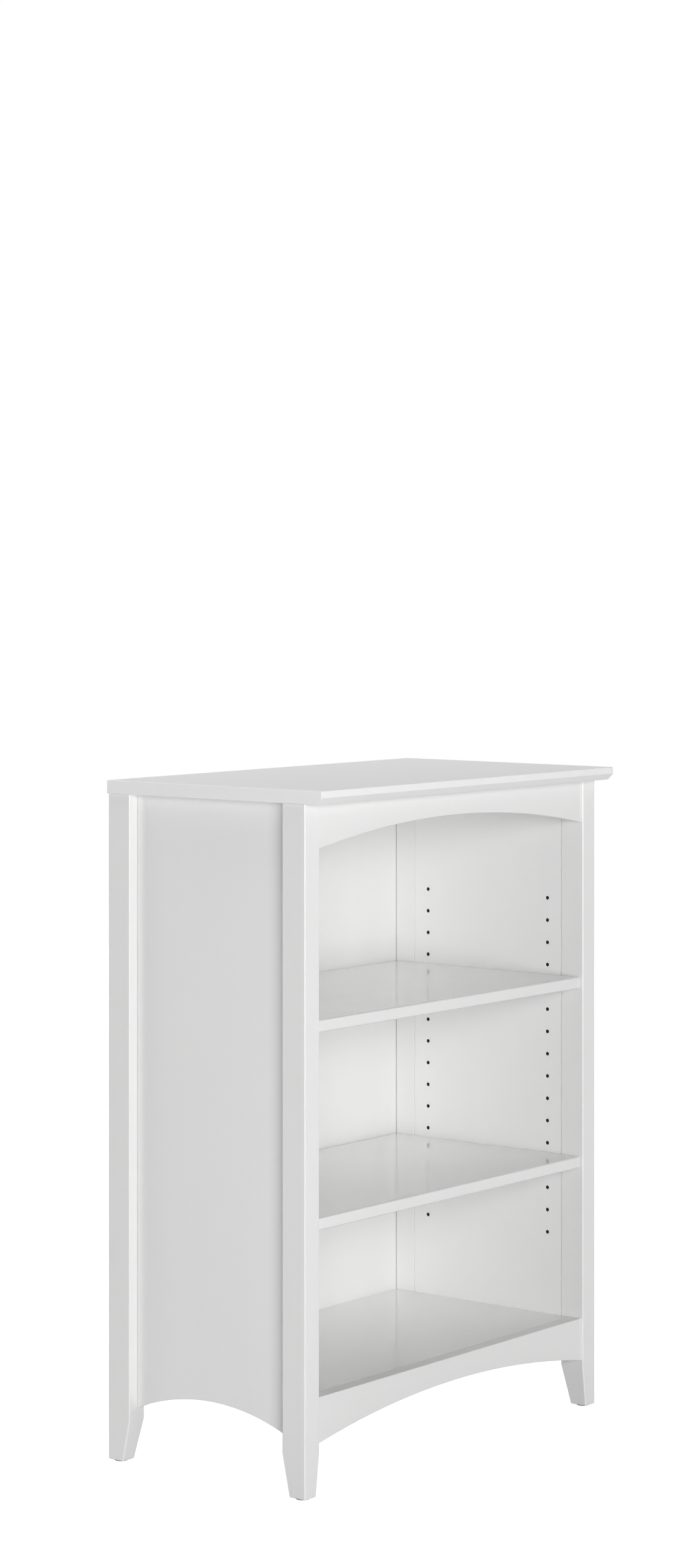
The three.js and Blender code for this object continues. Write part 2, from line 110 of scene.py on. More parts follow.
# Screws, dowels and tenons
SCREWS = {
    "top_screw": {"axis": "Z", "way": 1, "shank": 2.0 * MM, "head_length": 3.2 * MM},
    "back_screw": {"axis": "Y", "way": -1, "shank": 1.75 * MM, "head_length": 2.4 * MM},
}
SCREW_RIM = 0.12 * MM
SCREW_RIM_FOOT = 0.35 * MM
THREAD_PITCH = 1.8 * MM
THREAD_CORE = 0.72
THREAD_ROWS = 8
PLAIN_SHANK = 4 * MM
RECESS_REACH = 0.58
RECESS_HALF_WIDTH = 0.5 * MM
RECESS_DEPTH = 1.6 * MM
DOWEL_FLUTES = 12
DOWEL_FLUTE_DEPTH = 0.3 * MM
DOWEL_NOSE_SHARE = 0.7
DOWEL_NOSE_LENGTH = 1 * MM
TENON_EASE = 0.6 * MM

# Glides
GLIDE_THICKNESS = 1.7 * MM
GLIDE_NAIL_RADIUS = 1.1 * MM
GLIDE_NAIL_HEAD = 2.6 * MM

# How far a cutter runs past the face that it opens
OVERRUN = 1 * MM

record = frame["record"]
body_of = {n: body for body, members in record["behaviour"]["bodies"].items() for n in members}
slot_of = {row["node"]: row["material_slot"] for row in record["subparts"]}


# ---------------------------------------------------------------- finishes

def new_material(name, roughness, metallic=0.0):
    material = bpy.data.materials.new(name)
    material.use_nodes = True
    shader = material.node_tree.nodes["Principled BSDF"]
    shader.inputs["Roughness"].default_value = roughness
    shader.inputs["Metallic"].default_value = metallic
    return material, material.node_tree, shader


def noise(tree, scale, stretch=(1, 1, 1), detail=3.0):
    """Noise in the piece's own coordinates, with about scale features a metre."""
    coordinates = tree.nodes.new("ShaderNodeTexCoord")
    mapping = tree.nodes.new("ShaderNodeMapping")
    mapping.inputs["Scale"].default_value = stretch
    texture = tree.nodes.new("ShaderNodeTexNoise")
    texture.inputs["Scale"].default_value = scale
    texture.inputs["Detail"].default_value = detail
    tree.links.new(coordinates.outputs["Object"], mapping.inputs["Vector"])
    tree.links.new(mapping.outputs["Vector"], texture.inputs["Vector"])
    return texture.outputs[0]


def ranged(tree, value, low, high):
    """Spreads the middle of a noise value over low to high."""
    node = tree.nodes.new("ShaderNodeMapRange")
    node.inputs["From Min"].default_value = 0.3
    node.inputs["From Max"].default_value = 0.7
    node.inputs["To Min"].default_value = low
    node.inputs["To Max"].default_value = high
    tree.links.new(value, node.inputs["Value"])
    return node.outputs["Result"]


def added(tree, first, second):
    node = tree.nodes.new("ShaderNodeMath")
    node.operation = "ADD"
    tree.links.new(first, node.inputs[0])
    tree.links.new(second, node.inputs[1])
    return node.outputs["Value"]


def tinted(tree, value, dark, light):
    """Colour between dark at 0 and light at 1."""
    node = tree.nodes.new("ShaderNodeValToRGB")
    node.color_ramp.elements[0].color = (*dark, 1)
    node.color_ramp.elements[1].color = (*light, 1)
    tree.links.new(value, node.inputs["Fac"])
    return node.outputs["Color"]


def bumped(tree, height, distance, strength, below=None):
    node = tree.nodes.new("ShaderNodeBump")
    node.inputs["Distance"].default_value = distance
    node.inputs["Strength"].default_value = strength
    tree.links.new(height, node.inputs["Height"])
    if below is not None:
        tree.links.new(below, node.inputs["Normal"])
    return node.outputs["Normal"]


def grain_stretch(axis, along, across):
    return tuple(along if letter == axis else across for letter in "XYZ")


# Sprayed lacquer: noise scales are in features a metre, and grain is (along, across) the board
LACQUER_CLOUD = 3.0
LACQUER_STREAKS = (1.3, 42.0)
LACQUER_DARKEST = 0.984
LACQUER_FILM = 9.0
LACQUER_FILM_SPREAD = 0.012
LACQUER_GRAIN = (5.0, 190.0)
LACQUER_GRAIN_STRENGTH = 0.15
LACQUER_PEEL = 520.0
LACQUER_PEEL_STRENGTH = 0.12
LACQUER_BUMP = 0.000008


def lacquer(name, tone, grain_axis, roughness, coat=0.15, coat_roughness=0.22):
    """Sprayed white lacquer: uneven film, soft marks along the board, and orange peel."""
    material, tree, shader = new_material(name, roughness)
    cloud = ranged(tree, noise(tree, LACQUER_CLOUD, detail=4.0), 0.0, 0.55)
    streaks = noise(tree, 1.0, grain_stretch(grain_axis, *LACQUER_STREAKS), detail=2.0)
    shade = added(tree, cloud, ranged(tree, streaks, 0.0, 0.45))
    dark = tuple(c * LACQUER_DARKEST for c in tone)
    tree.links.new(tinted(tree, shade, dark, tone), shader.inputs["Base Color"])
    low, high = roughness - LACQUER_FILM_SPREAD, roughness + LACQUER_FILM_SPREAD
    film = ranged(tree, noise(tree, LACQUER_FILM, detail=1.0), low, high)
    tree.links.new(film, shader.inputs["Roughness"])
    shader.inputs["Coat Weight"].default_value = coat
    shader.inputs["Coat Roughness"].default_value = coat_roughness
    grain = noise(tree, 1.0, grain_stretch(grain_axis, *LACQUER_GRAIN), detail=2.0)
    under = bumped(tree, grain, LACQUER_BUMP, LACQUER_GRAIN_STRENGTH)
    peel = noise(tree, LACQUER_PEEL, detail=1.0)
    surface = bumped(tree, peel, LACQUER_BUMP, LACQUER_PEEL_STRENGTH, under)
    tree.links.new(surface, shader.inputs["Normal"])
    return material


def bare_board_painted_shade():
    """Bare fibreboard where a hole is drilled through the lacquer, its brown set far darker than
    fibreboard's own as painted shade inside the holes.
    """
    material, tree, shader = new_material("bare_board_painted_shade", 0.9)
    shader.inputs["Specular IOR Level"].default_value = 0.1
    fibres = noise(tree, 1400.0, (1.0, 1.0, 2.2), detail=4.0)
    shade = ranged(tree, fibres, 0.0, 1.0)
    brown = tinted(tree, shade, (0.03, 0.022, 0.016), (0.09, 0.066, 0.048))
    tree.links.new(brown, shader.inputs["Base Color"])
    tree.links.new(bumped(tree, fibres, 0.00015, 0.6), shader.inputs["Normal"])
    return material


def beech():
    """Bare beech with its grain along the piece and short dark flecks."""
    material, tree, shader = new_material("beech", 0.62)
    grain = noise(tree, 1.0, (60.0, 420.0, 420.0), detail=5.0)
    flecks = noise(tree, 1.0, (350.0, 2400.0, 2400.0), detail=2.0)
    shade = added(tree, ranged(tree, grain, 0.0, 0.7), ranged(tree, flecks, 0.0, 0.3))
    wood = tinted(tree, shade, (0.42, 0.235, 0.115), (0.66, 0.44, 0.25))
    tree.links.new(wood, shader.inputs["Base Color"])
    tree.links.new(ranged(tree, grain, 0.55, 0.72), shader.inputs["Roughness"])
    tree.links.new(bumped(tree, grain, 0.0001, 0.5), shader.inputs["Normal"])
    return material


def plated(name, dark, light, roughness, scale):
    """Plated steel: mottled brightness and fine drawn lines."""
    material, tree, shader = new_material(name, roughness, metallic=1.0)
    mottle = noise(tree, scale, detail=4.0)
    drawn = noise(tree, 1.0, (300.0, 2600.0, 2600.0), detail=2.0)
    shade = added(tree, ranged(tree, mottle, 0.0, 0.75), ranged(tree, drawn, 0.0, 0.25))
    tree.links.new(tinted(tree, shade, dark, light), shader.inputs["Base Color"])
    film = ranged(tree, mottle, roughness + 0.08, roughness - 0.06)
    tree.links.new(film, shader.inputs["Roughness"])
    tree.links.new(bumped(tree, drawn, 0.00002, 0.4), shader.inputs["Normal"])
    return material


def nylon():
    """Moulded grey nylon, matt, with a faint mould texture."""
    material, tree, shader = new_material("nylon", 0.52)
    cloud = noise(tree, 160.0)
    shade = ranged(tree, cloud, 0.0, 1.0)
    grey = tinted(tree, shade, (0.3, 0.3, 0.297), (0.38, 0.38, 0.374))
    tree.links.new(grey, shader.inputs["Base Color"])
    tree.links.new(ranged(tree, cloud, 0.46, 0.6), shader.inputs["Roughness"])
    tree.links.new(bumped(tree, noise(tree, 3800.0), 0.00003, 0.5), shader.inputs["Normal"])
    return material


# One white lacquer throughout. These tones per piece are painted light and shade: the frame and the
# back are set darker and the top lighter, so that each piece's brightness under the lamps comes out
# right, not because its paint differs.
FRAME_WHITE_PAINTED_SHADE = (0.872, 0.872, 0.868)
PANEL_WHITE = (0.895, 0.895, 0.892)
TOP_WHITE_PAINTED_LIGHT = (0.93, 0.93, 0.927)
SHELF_WHITE = (0.9, 0.9, 0.897)
BACK_WHITE_PAINTED_SHADE = (0.845, 0.845, 0.841)
frame_upright = lacquer("frame_lacquer_upright", FRAME_WHITE_PAINTED_SHADE, "Z", 0.34)
frame_level = lacquer("frame_lacquer_level", FRAME_WHITE_PAINTED_SHADE, "X", 0.3, coat=0.45, coat_roughness=0.14)
panel_lacquer = lacquer("panel_lacquer", PANEL_WHITE, "Z", 0.34)
top_lacquer = lacquer("top_lacquer", TOP_WHITE_PAINTED_LIGHT, "X", 0.44, coat=0.05, coat_roughness=0.35)
shelf_lacquer = lacquer("shelf_lacquer", SHELF_WHITE, "X", 0.22, coat=0.7, coat_roughness=0.1)
back_lacquer = lacquer("back_lacquer", BACK_WHITE_PAINTED_SHADE, "Z", 0.4)
core = bare_board_painted_shade()
beech_wood = beech()
nickel = plated("nickel", (0.46, 0.45, 0.43), (0.68, 0.67, 0.64), 0.26, 240.0)
zinc = plated("zinc", (0.42, 0.43, 0.44), (0.64, 0.65, 0.66), 0.36, 420.0)
nylon_grey = nylon()


# ---------------------------------------------------------------- solids

def on_axis(axis, along, u, v):
    """Point at along on an axis, and at (u, v) on the two others in X, Y, Z order."""
    return Vector({"X": (along, u, v), "Y": (u, along, v), "Z": (u, v, along)}[axis])


def prism(outline, axis, start, end, material=0):
    """Solid between two planes across an axis."""
    solid = bmesh.new()
    near = [solid.verts.new(on_axis(axis, start, u, v)) for u, v in outline]
    far = [solid.verts.new(on_axis(axis, end, u, v)) for u, v in outline]
    solid.faces.new(near)
    solid.faces.new(far)
    for i, here in enumerate(near):
        j = (i + 1) % len(near)
        solid.faces.new((here, near[j], far[j], far[i]))
    for face in solid.faces:
        face.material_index = material
    bmesh.ops.recalc_face_normals(solid, faces=solid.faces)
    return solid


def lathe(profile, axis, place, way=1, sides=32, ripple=None, bands=None):
    """Solid turned about an axis through place, a point of the two other axes and a start.

    profile holds (radius, height) points from the axis and back to it, with heights measured from
    the start in the direction way. ripple(angle, height) scales the radius. bands gives the
    material of each stretch between two points of the profile.
    """
    start, a, b = place
    solid = bmesh.new()
    rings = []
    for radius, height in profile:
        along = start + way * height
        if radius == 0:
            rings.append([solid.verts.new(on_axis(axis, along, a, b))])
            continue
        ring = []
        for i in range(sides):
            angle = 2 * math.pi * i / sides
            r = radius * (ripple(angle, height) if ripple else 1)
            point = on_axis(axis, along, a + r * math.cos(angle), b + r * math.sin(angle))
            ring.append(solid.verts.new(point))
        rings.append(ring)
    for k, (low, high) in enumerate(zip(rings, rings[1:])):
        for i in range(sides):
            j = (i + 1) % sides
            corners = [low[i % len(low)], low[j % len(low)], high[j % len(high)], high[i % len(high)]]
            face = solid.faces.new(list(dict.fromkeys(corners)))
            face.material_index = bands[k] if bands else 0
    bmesh.ops.recalc_face_normals(solid, faces=solid.faces)
    return solid


def rectangle(low, high):
    return [(low[0], low[1]), (high[0], low[1]), (high[0], high[1]), (low[0], high[1])]


def board(node):
    """Plain board that fills a node's box."""
    lo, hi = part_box(node)
    return prism(rectangle((lo.x, lo.y), (hi.x, hi.y)), "Z", lo.z, hi.z)


def arched(low, high, rise):
    """Upright outline whose lower edge is a circular arc with its crown in the middle."""
    half = (high[0] - low[0]) / 2
    radius = (half * half + rise * rise) / (2 * rise)
    swing = math.asin(half / radius)
    middle = low[0] + half
    points = []
    for i in range(ARCH_STEPS + 1):
        angle = swing * (2 * i / ARCH_STEPS - 1)
        height = low[1] + rise - radius * (1 - math.cos(angle))
        points.append((middle + radius * math.sin(angle), height))
    return points + [(high[0], high[1]), (low[0], high[1])]


def slot_outline(low, high, grow=0.0, steps=10):
    """Upright outline with half-round ends."""
    radius = (high[0] - low[0]) / 2
    middle = low[0] + radius
    points = []
    for centre, first in ((low[1] + radius, math.pi), (high[1] - radius, 0)):
        for i in range(steps + 1):
            angle = first + math.pi * i / steps
            r = radius + grow
            points.append((middle + r * math.cos(angle), centre + r * math.sin(angle)))
    return points


def ease(solid, size, segments, choose):
    """Rounds the sharp edges whose two ends choose(a, b) picks."""
    edges = []
    for edge in solid.edges:
        if edge.calc_face_angle(0) > SHARP and choose(edge.verts[0].co, edge.verts[1].co):
            edges.append(edge)
    bmesh.ops.bevel(
        solid, geom=edges, offset=size, segments=segments, profile=0.5,
        affect="EDGES", clamp_overlap=True,
    )


def along(axis):
    """Picks edges that run along an axis."""
    k = "XYZ".index(axis)

    def choose(a, b):
        step = b - a
        return abs(step[k]) > 0.99 * step.length
    return choose


def at(axis, *places):
    """Picks edges that lie in a plane across an axis."""
    k = "XYZ".index(axis)

    def choose(a, b):
        near = [abs(a[k] - p) < EASED_PLACE and abs(b[k] - p) < EASED_PLACE for p in places]
        return any(near)
    return choose


def everywhere(a, b):
    return True


def lone_object(solid):
    """A solid as an object, with two empty slots so that a cut keeps both face materials."""
    mesh = bpy.data.meshes.new("tool")
    solid.to_mesh(mesh)
    mesh.materials.append(None)
    mesh.materials.append(None)
    made = bpy.data.objects.new("tool", mesh)
    bpy.context.scene.collection.objects.link(made)
    return made


def combined(solid, tools, operation="DIFFERENCE"):
    """Cuts tools out of a solid, or joins them to it. Faces keep their material."""
    if not tools:
        return solid
    joined = bmesh.new()
    for tool in tools:
        mesh = bpy.data.meshes.new("tool")
        tool.to_mesh(mesh)
        joined.from_mesh(mesh)
        bpy.data.meshes.remove(mesh)
        tool.free()
    work, cutter = lone_object(solid), lone_object(joined)
    modifier = work.modifiers.new("combine", "BOOLEAN")
    modifier.operation = operation
    modifier.object = cutter
    modifier.solver = "EXACT"
    graph = bpy.context.evaluated_depsgraph_get()
    mesh = bpy.data.meshes.new_from_object(work.evaluated_get(graph))
    result = bmesh.new()
    result.from_mesh(mesh)
    for used in (work, cutter):
        used_mesh = used.data
        bpy.data.objects.remove(used)
        bpy.data.meshes.remove(used_mesh)
    bpy.data.meshes.remove(mesh)
    solid.free()
    joined.free()
    return result


def add_piece(node, solid, *finishes):
    """Puts a finished solid in the place of its CAD node."""
    for face in solid.faces:
        face.smooth = True
    for edge in solid.edges:
        edge.smooth = edge.calc_face_angle(0) < SHARP
    mesh = bpy.data.meshes.new(f"{node}_fine")
    solid.to_mesh(mesh)
    solid.free()
    for finish in finishes:
        mesh.materials.append(finish)
    piece = bpy.data.objects.new(f"{node}_fine", mesh)
    bpy.context.scene.collection.objects.link(piece)
    normals = piece.modifiers.new("even_normals", "WEIGHTED_NORMAL")
    normals.keep_sharp = True
    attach(piece, body_of[node])
    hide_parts(node)
    return piece


# ---------------------------------------------------------------- joinery

def screw_profile(node, grow=0.0, threaded=True):
    """Countersunk screw's profile from its head's face, and where that face is."""
    kind = SCREWS[node[:node.index("screw") + 5]]
    lo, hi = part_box(node)
    k = "XYZ".index(kind["axis"])
    others = [i for i in range(3) if i != k]
    head = (hi[others[0]] - lo[others[0]]) / 2 + grow
    length = hi[k] - lo[k] + grow
    shank = kind["shank"] + grow
    neck = kind["head_length"]
    face = lo[k] if kind["way"] > 0 else hi[k]
    place = (face, *[(lo[i] + hi[i]) / 2 for i in others])
    if not threaded:
        points = [(0, -OVERRUN), (head + OVERRUN, -OVERRUN), (head, 0), (shank, neck)]
        return kind, place, points + [(shank, length - shank), (0, length)]
    points = [(0, 0), (head - THIN_EASE, 0), (head, SCREW_RIM), (head, SCREW_RIM_FOOT)]
    points.append((shank, neck))
    first = neck + PLAIN_SHANK
    points.append((shank, first))
    last = length - 2 * shank
    rows = int((last - first) / THREAD_PITCH * THREAD_ROWS)
    points += [(shank, first + (last - first) * (i + 1) / rows) for i in range(rows)]
    return kind, place, points + [(0.25 * shank, length - THIN_EASE), (0, length)]


def screw_solid(node):
    kind, place, points = screw_profile(node)
    head = max(radius for radius, _ in points)
    first = kind["head_length"] + PLAIN_SHANK

    def thread(angle, height):
        if height <= first:
            return 1
        turn = (height / THREAD_PITCH - angle / (2 * math.pi)) % 1
        return THREAD_CORE + (1 - THREAD_CORE) * max(0, 1 - 3 * abs(turn - 0.5))
    solid = lathe(points, kind["axis"], place, kind["way"], 28, thread)
    reach, half = head * RECESS_REACH, RECESS_HALF_WIDTH
    steps = [(reach, half), (half, half), (half, reach)]
    corners = []
    for su, sv in ((1, 1), (-1, 1), (-1, -1), (1, -1)):
        turned = steps if su * sv > 0 else steps[::-1]
        corners += [(place[1] + su * u, place[2] + sv * v) for u, v in turned]
    ends = sorted((place[0] - kind["way"] * OVERRUN, place[0] + kind["way"] * RECESS_DEPTH))
    return combined(solid, [prism(corners, kind["axis"], *ends)])


def tenon_solid(node, grow=0.0, material=0):
    lo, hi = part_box(node)
    if node.startswith("rail"):
        outline = slot_outline((lo.y, lo.z), (hi.y, hi.z), grow)
        return prism(outline, "X", lo.x - grow, hi.x + grow, material)
    outline = slot_outline((lo.x, lo.z), (hi.x, hi.z), grow)
    return prism(outline, "Y", lo.y - grow, hi.y + grow, material)


def dowel_solid(node, grow=0.0, fluted=True, material=0):
    lo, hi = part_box(node)
    radius = (hi.z - lo.z) / 2 + grow
    length = hi.x - lo.x + 2 * grow
    place = (lo.x - grow, (lo.y + hi.y) / 2, (lo.z + hi.z) / 2)
    if not fluted:
        points = [(0, 0), (radius, 0), (radius, length), (0, length)]
        return lathe(points, "X", place, bands=[material] * 3)

    def flute(angle, height):
        depth = DOWEL_FLUTE_DEPTH / radius
        return 1 - depth * (0.5 - 0.5 * math.cos(DOWEL_FLUTES * angle)) ** 3
    nose, run = DOWEL_NOSE_SHARE * radius, DOWEL_NOSE_LENGTH
    points = [(0, 0), (nose, 0), (radius, run), (radius, length - run), (nose, length), (0, length)]
    return lathe(points, "X", place, sides=72, ripple=flute)


def nail_space(node, grow=GAP, material=0):
    """The hole that a glide's nail makes in its foot."""
    lo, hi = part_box(node)
    place = (lo.z, (lo.x + hi.x) / 2, (lo.y + hi.y) / 2)
    radius, top = GLIDE_NAIL_RADIUS + grow, hi.z - lo.z + grow
    points = [(0, 0), (radius, 0), (radius, top), (0, top)]
    return lathe(points, "Z", place, sides=20, bands=[material] * 3)


def joint_space(node):
    """The mortise, dowel hole or screw hole around an inner piece, one gap larger than it."""
    if "tenon" in node:
        return tenon_solid(node, GAP, material=1)
    if "dowel" in node:
        return dowel_solid(node, GAP, fluted=False, material=1)
    if "glide" in node:
        return nail_space(node, material=1)
    kind, place, points = screw_profile(node, GAP, threaded=False)
    return lathe(points, kind["axis"], place, kind["way"], bands=[0, 0, 0, 1, 1])


INNER = [n for n in slot_of if "tenon" in n or "dowel" in n or "screw" in n or "glide" in n]


def joint_spaces(node):
    """The spaces of all the inner pieces that reach into a board's box."""
    lo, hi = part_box(node)
    found = []
    for inner in INNER:
        a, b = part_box(inner)
        if all(a[k] < hi[k] - GAP and b[k] > lo[k] + GAP for k in range(3)):
            found.append(joint_space(inner))
    return found


# ---------------------------------------------------------------- boards

def make_top():
    """Top panel: rounded rim and corners, with a bevel under the front edge."""
    lo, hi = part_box("top_panel")
    profile = [
        (lo.y + TOP_CHAMFER, lo.z),
        (hi.y, lo.z),
        (hi.y, hi.z),
        (lo.y, hi.z),
        (lo.y, lo.z + TOP_CHAMFER),
    ]
    solid = prism(profile, "X", lo.x, hi.x)
    ease(solid, TOP_CORNER_EASE, 5, along("Z"))
    ease(solid, TOP_RIM_EASE, 5, at("Z", hi.z))
    ease(solid, TOP_CRISP_EASE, 2, lambda a, b: max(a.z, b.z) < lo.z + TOP_CHAMFER + MM / 2)
    add_piece("top_panel", combined(solid, joint_spaces("top_panel")), top_lacquer, core)


def make_post(node, side, end):
    """Post with its two inner faces tapering in towards the foot."""
    lo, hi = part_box(node)
    outer_x = hi.x if side > 0 else lo.x
    outer_y = hi.y if end > 0 else lo.y
    width, depth = hi.x - lo.x, hi.y - lo.y
    solid = bmesh.new()
    rings = []
    for z, w, d in ((lo.z, FOOT_WIDTH, FOOT_DEPTH), (TAPER_Z, width, depth), (hi.z, width, depth)):
        corners = rectangle((outer_x, outer_y), (outer_x - side * w, outer_y - end * d))
        rings.append([solid.verts.new((x, y, z)) for x, y in corners])
    solid.faces.new(rings[0])
    solid.faces.new(rings[-1])
    for low, high in zip(rings, rings[1:]):
        for i in range(4):
            j = (i + 1) % 4
            solid.faces.new((low[i], low[j], high[j], high[i]))
    bmesh.ops.recalc_face_normals(solid, faces=solid.faces)

    def at_joint(a, b):
        upper = a if a.z > b.z else b
        joint = Vector((outer_x - side * width, outer_y - end * depth))
        return (upper.xy - joint).length < GAP

    def upright(a, b):
        return abs(a.z - b.z) > TAPER_EDGE_MINIMUM
    ease(solid, POST_EASE, 5, lambda a, b: upright(a, b) and not at_joint(a, b))
    ease(solid, POST_JOINT_EASE, 3, lambda a, b: upright(a, b) and at_joint(a, b))
    ease(solid, FOOT_EASE, 4, at("Z", lo.z))
    if end > 0:
        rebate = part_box("back_panel")
        xs = sorted((side * (rebate[1].x + GAP), side * (abs(outer_x) - width - OVERRUN)))
        foot = (xs[0], rebate[0].y - GAP)
        head = (xs[1], rebate[1].y + OVERRUN)
        notch = prism(rectangle(foot, head), "Z", rebate[0].z - GAP, hi.z + OVERRUN)
        solid = combined(solid, [notch])
    add_piece(node, combined(solid, joint_spaces(node)), frame_upright, core)


def pin_hole(panel, side, y, z):
    """Cutter for one pin hole, with its mouth lightly broken."""
    lo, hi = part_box(panel)
    inner = lo.x if side > 0 else hi.x
    mouth = HOLE_RADIUS + HOLE_BREAK
    points = [
        (0, -OVERRUN),
        (mouth + OVERRUN, -OVERRUN),
        (HOLE_RADIUS, HOLE_BREAK),
        (HOLE_RADIUS, HOLE_DEPTH - OVERRUN),
        (0, HOLE_DEPTH),
    ]
    # The bore's wall and floor take the board finish, which is darkened as painted shade.
    return lathe(points, "X", (inner, y, z), side, 28, bands=[0, 0, 1, 1])


def make_side_panel(name, side):
    """Side panel, arched below and drilled with two columns of pin holes."""
    node = f"side_panel_{name}"
    lo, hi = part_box(node)
    low, high = (lo.y + SHADOW_LINE, lo.z), (hi.y - SHADOW_LINE, hi.z)
    solid = prism(arched(low, high, PANEL_ARCH_RISE), "X", lo.x, hi.x)
    ease(solid, THIN_EASE, 2, at("X", lo.x, hi.x))
    cutters = joint_spaces(node)
    for column in ("front", "back"):
        a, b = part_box(f"pin_upper_{name}_{column}")
        for row in range(HOLE_ROWS):
            z = (a.z + b.z) / 2 + (UPPER_PIN_ROW - row) * HOLE_PITCH
            cutters.append(pin_hole(node, side, (a.y + b.y) / 2, z))
    add_piece(node, combined(solid, cutters), panel_lacquer, core)


def make_rail(node, rise):
    """Rail between two posts, its lower edge arched where rise isn't 0."""
    lo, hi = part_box(node)
    low, high = (lo.x, lo.z), (hi.x, hi.z)
    outline = arched(low, high, rise) if rise else rectangle(low, high)
    solid = prism(outline, "Y", lo.y, hi.y)

    def long_rims(a, b):
        return at("Y", lo.y, hi.y)(a, b) and not along("Z")(a, b)
    ease(solid, BOARD_EASE, 3, long_rims)
    add_piece(node, combined(solid, joint_spaces(node)), frame_level, core)


def make_bottom_shelf():
    solid = board("bottom_shelf")
    ease(solid, THIN_EASE, 2, everywhere)
    add_piece("bottom_shelf", combined(solid, joint_spaces("bottom_shelf")), shelf_lacquer, core)


def make_shelf(node):
    """Adjustable shelf, rounded along its front and at its front corners."""
    lo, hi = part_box(node)
    solid = board(node)
    ease(solid, SHELF_CORNER_EASE, 4, along("Z"))
    ease(solid, SHELF_EASE, 5, at("Z", lo.z, hi.z))
    add_piece(node, solid, shelf_lacquer)


def make_back_panel():
    """Back panel, stepped back where it enters the posts so that a dark line shows there."""
    lo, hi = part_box("back_panel")
    start, step = BACK_GROOVE_START, lo.y + BACK_GROOVE
    outline = [(lo.x, step), (-start, step), (-start, lo.y), (start, lo.y), (start, step)]
    outline += [(hi.x, step), (hi.x, hi.y), (lo.x, hi.y)]
    solid = prism(outline, "Z", lo.z, hi.z)
    ease(solid, THIN_EASE, 2, lambda a, b: not at("Y", step)(a, b))
    add_piece("back_panel", combined(solid, joint_spaces("back_panel")), back_lacquer, core)


def make_cleat(node):
    solid = board(node)
    ease(solid, BOARD_EASE, 3, everywhere)
    add_piece(node, combined(solid, joint_spaces(node)), frame_level, core)


# ---------------------------------------------------------------- small parts

def make_pin(node):
    """Shelf pin: a grooved round shank and a flat tongue with a round nose."""
    lo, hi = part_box(node)
    side = -1 if "_left_" in node else 1
    y, z = (lo.y + hi.y) / 2, (lo.z + hi.z) / 2
    outer = lo.x if side < 0 else hi.x
    nose = hi.x if side < 0 else lo.x
    inner = nose + side * TONGUE_LENGTH
    length = abs(outer - inner) + TONGUE_OVERLAP
    points = [(0, 0), (PIN_RADIUS - PIN_END_EASE, 0), (PIN_RADIUS, PIN_END_EASE)]
    floor_radius = PIN_RADIUS - PIN_GROOVE_DEPTH
    for i in range(PIN_GROOVES):
        start = PIN_GROOVE_START + i * PIN_GROOVE_PITCH
        end = start + PIN_GROOVE_WIDTH
        points += [(PIN_RADIUS, start), (floor_radius, start + PIN_GROOVE_SLOPE)]
        points += [(floor_radius, end - PIN_GROOVE_SLOPE), (PIN_RADIUS, end)]
    points += [(PIN_RADIUS, length), (0, length)]
    shank = lathe(points, "X", (outer, y, z), -side, 32)
    half = (hi.y - lo.y) / 2
    outline = [(inner, y + half), (inner, y - half)]
    for i in range(NOSE_STEPS + 1):
        angle = -math.pi / 2 + math.pi * i / NOSE_STEPS
        across = half * math.sin(angle)
        outline.append((nose + side * TONGUE_NOSE * (1 - math.cos(angle)), y + across))
    top = z + TONGUE_TOP
    tongue = prism(outline, "Z", top - TONGUE_THICKNESS, top)
    ease(tongue, TONGUE_EASE, 3, at("Z", top - TONGUE_THICKNESS, top))
    add_piece(node, combined(tongue, [shank], "UNION"), nickel)


def make_glide(node):
    """Nylon disc with a rounded rim and a dished face, held by a nail."""
    lo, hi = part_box(node)
    radius = (hi.x - lo.x) / 2
    place = (lo.z, (lo.x + hi.x) / 2, (lo.y + hi.y) / 2)
    nail, head, top = GLIDE_NAIL_RADIUS, GLIDE_NAIL_HEAD, hi.z - lo.z
    points = [
        (0, 0.75 * MM),
        (head - 0.3 * MM, 0.7 * MM),
        (head, 0.9 * MM),
        (head + 0.4 * MM, 0.9 * MM),
        (head + 0.9 * MM, 0.25 * MM),
        (head + 1.8 * MM, 0),
        (radius - 1.2 * MM, 0),
        (radius - 0.5 * MM, 0.15 * MM),
        (radius - 0.12 * MM, 0.5 * MM),
        (radius, 1.0 * MM),
        (radius - 0.1 * MM, GLIDE_THICKNESS - 0.2 * MM),
        (radius - 0.4 * MM, GLIDE_THICKNESS),
        (nail, GLIDE_THICKNESS),
        (nail, top - 3 * nail),
        (0, top),
    ]
    bands = [1, 1, 0, 0, 0, 0, 0, 0, 0, 0, 0, 0, 1, 1]
    add_piece(node, lathe(points, "Z", place, 1, 40, bands=bands), nylon_grey, zinc)


def make_tenon(node):
    lo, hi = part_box(node)
    solid = tenon_solid(node)
    ends = at("X", lo.x, hi.x) if node.startswith("rail") else at("Y", lo.y, hi.y)
    ease(solid, TENON_EASE, 2, ends)
    add_piece(node, solid, beech_wood)


